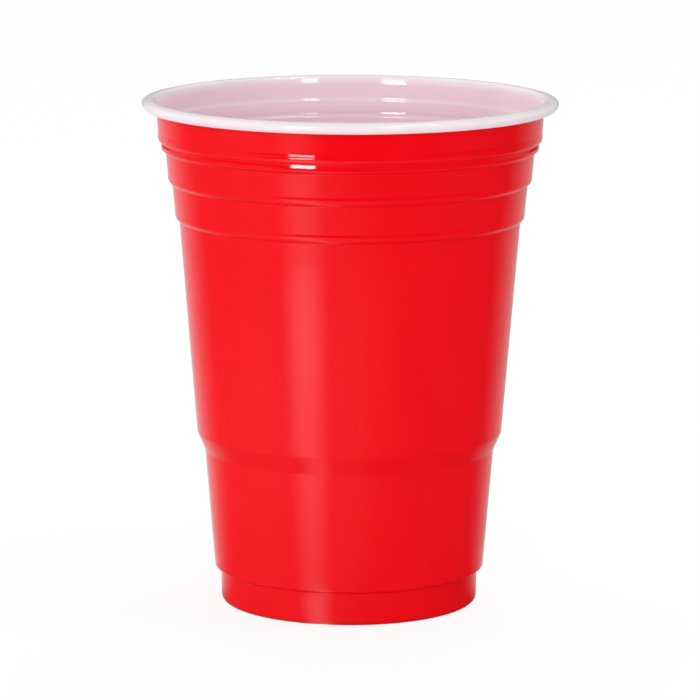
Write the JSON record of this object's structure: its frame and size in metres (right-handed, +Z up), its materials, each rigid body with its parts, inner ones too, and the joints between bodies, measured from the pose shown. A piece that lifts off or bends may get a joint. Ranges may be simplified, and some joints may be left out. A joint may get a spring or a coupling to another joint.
{
  "type": "plastic party cup",
  "caption": "Stepped red drinking cup formed in one piece from thin two-colour plastic sheet, with a white inside, a rolled rim, grip bands, a waist and a stacking foot.",
  "frame": {"origin": "centre of the ring that the cup stands on, at table height", "axes": "+Z up along the cup's axis, towards the rolled rim"},
  "size_m": [0.095, 0.095, 0.1165],
  "materials": {
    "red_sheet": "gloss"
  },
  "bodies": {
    "root": {"cup": "red_sheet"}
  },
  "joints": []
}
